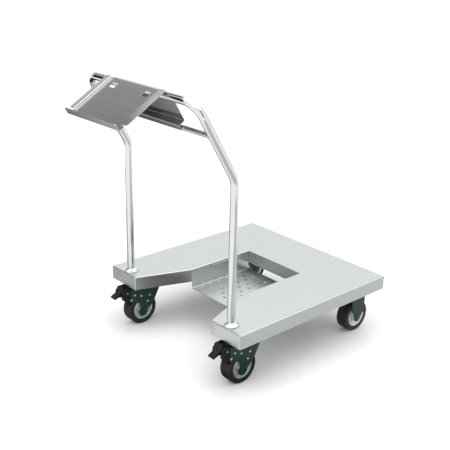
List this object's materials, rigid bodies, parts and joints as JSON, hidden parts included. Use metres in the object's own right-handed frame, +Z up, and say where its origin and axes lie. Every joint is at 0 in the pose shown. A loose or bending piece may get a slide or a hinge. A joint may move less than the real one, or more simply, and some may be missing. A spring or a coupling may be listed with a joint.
{
  "type": "luggage cart",
  "caption": "Push cart with a folded steel deck, foot notch, perforated step well, leaning tube handle, document tray, braked swivel casters and fixed casters.",
  "frame": {"origin": "middle of the whole cart's outline on the floor, under the deck, tray overhang included", "axes": "+X forward, from the handle to the front edge of the deck; +Y to the cart's left; +Z up"},
  "size_m": [1.0696, 0.74, 1.0257],
  "materials": {
    "satin_steel": "satin folded stainless sheet",
    "tray_steel": "bright folded stainless sheet",
    "polished_steel": "polished stainless tube",
    "caster_green": "dark green paint on pressed steel",
    "zinc_plate": "bright zinc plating",
    "cast_alloy": "cast",
    "black_rubber": "moulded",
    "black_nylon": "moulded"
  },
  "bodies": {
    "root": {"deck_shell": "satin_steel", "step_pan": "satin_steel", "front_channel": "satin_steel", "rear_channel_left": "satin_steel", "rear_channel_right": "satin_steel", "post_doublers": "satin_steel", "handle_tube": "polished_steel", "lower_crossbar": "polished_steel", "collar_left": "polished_steel", "collar_right": "polished_steel", "post_plugs": "zinc_plate", "post_bolts": "zinc_plate", "document_tray": "tray_steel", "back_plate": "tray_steel", "caster_bolts": "zinc_plate", "caster_nuts": "zinc_plate", "rear_left_plate": "caster_green", "rear_left_kingpin": "zinc_plate", "front_left_fork": "caster_green", "front_left_axle": "zinc_plate", "front_left_nut": "zinc_plate", "rear_right_plate": "caster_green", "rear_right_kingpin": "zinc_plate", "front_right_fork": "caster_green", "front_right_axle": "zinc_plate", "front_right_nut": "zinc_plate"},
    "rear_left_swivel": {"rear_left_balls": "zinc_plate", "rear_left_fork": "caster_green", "rear_left_rivets": "zinc_plate", "rear_left_axle": "zinc_plate", "rear_left_nut": "zinc_plate", "rear_left_housing": "black_nylon", "rear_left_pins": "zinc_plate"},
    "rear_left_wheel": {"rear_left_core": "cast_alloy", "rear_left_bearings": "zinc_plate", "rear_left_tyre": "black_rubber"},
    "rear_left_brake_pedal": {"rear_left_pedal": "black_nylon"},
    "rear_left_brake_shoe": {"rear_left_shoe": "zinc_plate"},
    "front_left_wheel": {"front_left_core": "cast_alloy", "front_left_bearings": "zinc_plate", "front_left_tyre": "black_rubber"},
    "rear_right_swivel": {"rear_right_balls": "zinc_plate", "rear_right_fork": "caster_green", "rear_right_rivets": "zinc_plate", "rear_right_axle": "zinc_plate", "rear_right_nut": "zinc_plate", "rear_right_housing": "black_nylon", "rear_right_pins": "zinc_plate"},
    "rear_right_wheel": {"rear_right_core": "cast_alloy", "rear_right_bearings": "zinc_plate", "rear_right_tyre": "black_rubber"},
    "rear_right_brake_pedal": {"rear_right_pedal": "black_nylon"},
    "rear_right_brake_shoe": {"rear_right_shoe": "zinc_plate"},
    "front_right_wheel": {"front_right_core": "cast_alloy", "front_right_bearings": "zinc_plate", "front_right_tyre": "black_rubber"}
  },
  "joints": [
    {"name": "rear_left_swivel_turn", "type": "hinge", "parent": "root", "child": "rear_left_swivel", "pos_m": [-0.11519, 0.288, 0.1665], "axis": [0, 0, 1], "continuous": true},
    {"name": "rear_left_wheel_spin", "type": "hinge", "parent": "rear_left_swivel", "child": "rear_left_wheel", "pos_m": [-0.15119, 0.288, 0.0625], "axis": [0, 1, 0], "continuous": true},
    {"name": "rear_left_pedal_press", "type": "hinge", "parent": "rear_left_swivel", "child": "rear_left_brake_pedal", "pos_m": [-0.22719, 0.288, 0.1509], "axis": [0, -1, 0], "range_deg": [0, 12]},
    {"name": "rear_left_shoe_press", "type": "hinge", "parent": "rear_left_swivel", "child": "rear_left_brake_shoe", "pos_m": [-0.20319, 0.288, 0.1459], "axis": [0, -1, 0], "range_deg": [0, 1.8]},
    {"name": "front_left_wheel_spin", "type": "hinge", "parent": "root", "child": "front_left_wheel", "pos_m": [0.45581, 0.288, 0.0625], "axis": [0, 1, 0], "continuous": true},
    {"name": "rear_right_swivel_turn", "type": "hinge", "parent": "root", "child": "rear_right_swivel", "pos_m": [-0.11519, -0.288, 0.1665], "axis": [0, 0, 1], "continuous": true},
    {"name": "rear_right_wheel_spin", "type": "hinge", "parent": "rear_right_swivel", "child": "rear_right_wheel", "pos_m": [-0.15119, -0.288, 0.0625], "axis": [0, 1, 0], "continuous": true},
    {"name": "rear_right_pedal_press", "type": "hinge", "parent": "rear_right_swivel", "child": "rear_right_brake_pedal", "pos_m": [-0.22719, -0.288, 0.1509], "axis": [0, -1, 0], "range_deg": [0, 12]},
    {"name": "rear_right_shoe_press", "type": "hinge", "parent": "rear_right_swivel", "child": "rear_right_brake_shoe", "pos_m": [-0.20319, -0.288, 0.1459], "axis": [0, -1, 0], "range_deg": [0, 1.8]},
    {"name": "front_right_wheel_spin", "type": "hinge", "parent": "root", "child": "front_right_wheel", "pos_m": [0.45581, -0.288, 0.0625], "axis": [0, 1, 0], "continuous": true}
  ],
  "couplings": [
    {"joint": "rear_left_shoe_press", "follows": "rear_left_pedal_press", "ratio": 0.15},
    {"joint": "rear_right_shoe_press", "follows": "rear_right_pedal_press", "ratio": 0.15}
  ]
}
